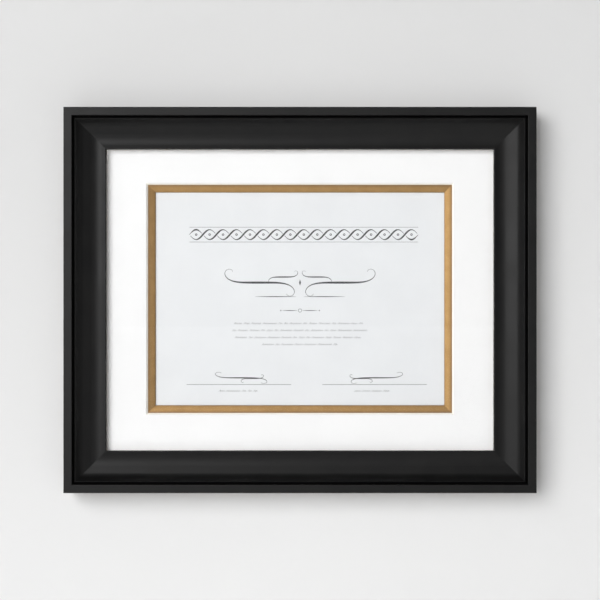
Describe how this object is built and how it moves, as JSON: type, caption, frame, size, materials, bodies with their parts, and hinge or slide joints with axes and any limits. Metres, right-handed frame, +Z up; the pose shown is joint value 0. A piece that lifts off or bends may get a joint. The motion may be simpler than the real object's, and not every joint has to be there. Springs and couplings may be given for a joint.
{
  "type": "certificate frame",
  "caption": "Wall-hung certificate frame: mitred black scoop moulding, glazing, bevelled white mat, gold fillet and document sheet, with a back panel held by turn buttons.",
  "frame": {"origin": "the point on the wall straight behind the middle notch of the landscape hanger on the top rail", "axes": "+X to the right as seen from the front, +Y from the front into the wall, +Z up"},
  "size_m": [0.4148, 0.0294, 0.3385],
  "materials": {
    "rail_lacquer": "satin black lacquer on wood, bare wood at the back",
    "fillet_gold": "antique gold leaf on wood",
    "mat_white": "matt white board with a white bevel",
    "certificate_paper": "uncoated heavy paper",
    "glass": "clear polished",
    "spacer_foam": "paper-faced foam board",
    "mount_board": "matt board",
    "hardboard": "smooth hardboard",
    "button_steel": "zinc plated",
    "screw_steel": "zinc plated",
    "hanger_brass": "brass plated steel",
    "nail_steel": "bright steel",
    "bumper_rubber": "matt soft rubber"
  },
  "bodies": {
    "frame": {"rail_top": "rail_lacquer", "rail_bottom": "rail_lacquer", "rail_left": "rail_lacquer", "rail_right": "rail_lacquer", "fillet_top": "fillet_gold", "fillet_bottom": "fillet_gold", "fillet_left": "fillet_gold", "fillet_right": "fillet_gold", "spacer_top": "spacer_foam", "spacer_bottom": "spacer_foam", "spacer_left": "spacer_foam", "spacer_right": "spacer_foam", "mat_board": "mat_white", "glazing": "glass", "certificate": "certificate_paper", "mount_board": "mount_board", "back_panel": "hardboard", "corner_v_nails": "nail_steel", "turn_button_screws": "screw_steel", "hanger_landscape": "hanger_brass", "hanger_portrait": "hanger_brass", "hanger_nails": "nail_steel", "bumper_top_left": "bumper_rubber", "bumper_top_right": "bumper_rubber", "bumper_bottom_left": "bumper_rubber", "bumper_bottom_right": "bumper_rubber"},
    "turn_button_top_left": {"turn_button_top_left": "button_steel"},
    "turn_button_top_right": {"turn_button_top_right": "button_steel"},
    "turn_button_bottom_left": {"turn_button_bottom_left": "button_steel"},
    "turn_button_bottom_right": {"turn_button_bottom_right": "button_steel"},
    "turn_button_left_upper": {"turn_button_left_upper": "button_steel"},
    "turn_button_left_lower": {"turn_button_left_lower": "button_steel"},
    "turn_button_right_upper": {"turn_button_right_upper": "button_steel"},
    "turn_button_right_lower": {"turn_button_right_lower": "button_steel"}
  },
  "joints": [
    {"name": "turn_button_top_left_turn", "type": "hinge", "parent": "frame", "child": "turn_button_top_left", "pos_m": [-0.1138, -0.0035, 0.00042], "axis": [0, 1, 0], "continuous": true},
    {"name": "turn_button_top_right_turn", "type": "hinge", "parent": "frame", "child": "turn_button_top_right", "pos_m": [0.1138, -0.0035, 0.00042], "axis": [0, 1, 0], "continuous": true},
    {"name": "turn_button_bottom_left_turn", "type": "hinge", "parent": "frame", "child": "turn_button_bottom_left", "pos_m": [-0.1138, -0.0035, -0.30457], "axis": [0, 1, 0], "continuous": true},
    {"name": "turn_button_bottom_right_turn", "type": "hinge", "parent": "frame", "child": "turn_button_bottom_right", "pos_m": [0.1138, -0.0035, -0.30457], "axis": [0, 1, 0], "continuous": true},
    {"name": "turn_button_left_upper_turn", "type": "hinge", "parent": "frame", "child": "turn_button_left_upper", "pos_m": [-0.1906, -0.0035, -0.07637], "axis": [0, 1, 0], "continuous": true},
    {"name": "turn_button_left_lower_turn", "type": "hinge", "parent": "frame", "child": "turn_button_left_lower", "pos_m": [-0.1906, -0.0035, -0.22778], "axis": [0, 1, 0], "continuous": true},
    {"name": "turn_button_right_upper_turn", "type": "hinge", "parent": "frame", "child": "turn_button_right_upper", "pos_m": [0.1906, -0.0035, -0.07637], "axis": [0, 1, 0], "continuous": true},
    {"name": "turn_button_right_lower_turn", "type": "hinge", "parent": "frame", "child": "turn_button_right_lower", "pos_m": [0.1906, -0.0035, -0.22778], "axis": [0, 1, 0], "continuous": true}
  ]
}
